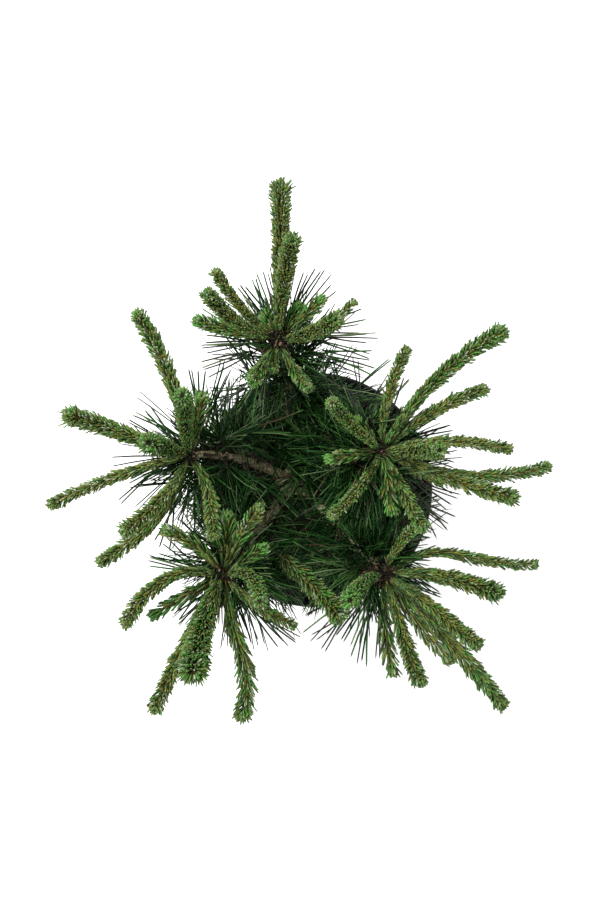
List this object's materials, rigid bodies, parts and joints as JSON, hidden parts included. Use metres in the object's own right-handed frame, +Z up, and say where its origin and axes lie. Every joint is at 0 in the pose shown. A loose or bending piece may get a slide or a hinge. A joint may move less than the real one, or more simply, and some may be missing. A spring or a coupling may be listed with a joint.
{
  "type": "potted mugo pine",
  "caption": "Young mugo pine in a round nursery pot, with curved boughs that end in broad tufts of dark needles and sprays of fresh green shoots.",
  "frame": {"origin": "centre of the pot's flat underside", "axes": "+Z up along the pot's axis, +Y towards the north bough, +X towards the east bough"},
  "size_m": [0.4249, 0.4509, 0.427],
  "materials": {
    "pot": "satin",
    "soil": "matte",
    "bark": "matte",
    "old_needles": "satin",
    "young_needles": "satin"
  },
  "bodies": {
    "root": {"pot": "pot", "soil": "soil", "trunk": "bark", "bough_north": "bark", "needles_north": "old_needles", "shoot_north_1": "young_needles", "shoot_north_2": "young_needles", "shoot_north_3": "young_needles", "shoot_north_4": "young_needles", "shoot_north_5": "young_needles", "shoot_north_6": "young_needles", "shoot_north_7": "young_needles", "shoot_north_8": "young_needles", "shoot_north_9": "young_needles", "shoot_north_10": "young_needles", "bough_west": "bark", "needles_west": "old_needles", "shoot_west_1": "young_needles", "shoot_west_2": "young_needles", "shoot_west_3": "young_needles", "shoot_west_4": "young_needles", "shoot_west_5": "young_needles", "shoot_west_6": "young_needles", "shoot_west_7": "young_needles", "shoot_west_8": "young_needles", "shoot_west_9": "young_needles", "bough_east": "bark", "needles_east": "old_needles", "shoot_east_1": "young_needles", "shoot_east_2": "young_needles", "shoot_east_3": "young_needles", "shoot_east_4": "young_needles", "shoot_east_5": "young_needles", "shoot_east_6": "young_needles", "shoot_east_7": "young_needles", "shoot_east_8": "young_needles", "shoot_east_9": "young_needles", "shoot_east_10": "young_needles", "bough_southwest": "bark", "needles_southwest": "old_needles", "shoot_southwest_1": "young_needles", "shoot_southwest_2": "young_needles", "shoot_southwest_3": "young_needles", "shoot_southwest_4": "young_needles", "shoot_southwest_5": "young_needles", "shoot_southwest_6": "young_needles", "shoot_southwest_7": "young_needles", "shoot_southwest_8": "young_needles", "shoot_southwest_9": "young_needles", "shoot_southwest_10": "young_needles", "bough_southeast": "bark", "needles_southeast": "old_needles", "shoot_southeast_1": "young_needles", "shoot_southeast_2": "young_needles", "shoot_southeast_3": "young_needles", "shoot_southeast_4": "young_needles", "shoot_southeast_5": "young_needles", "shoot_southeast_6": "young_needles", "shoot_southeast_7": "young_needles", "shoot_south_low": "young_needles"}
  },
  "joints": []
}
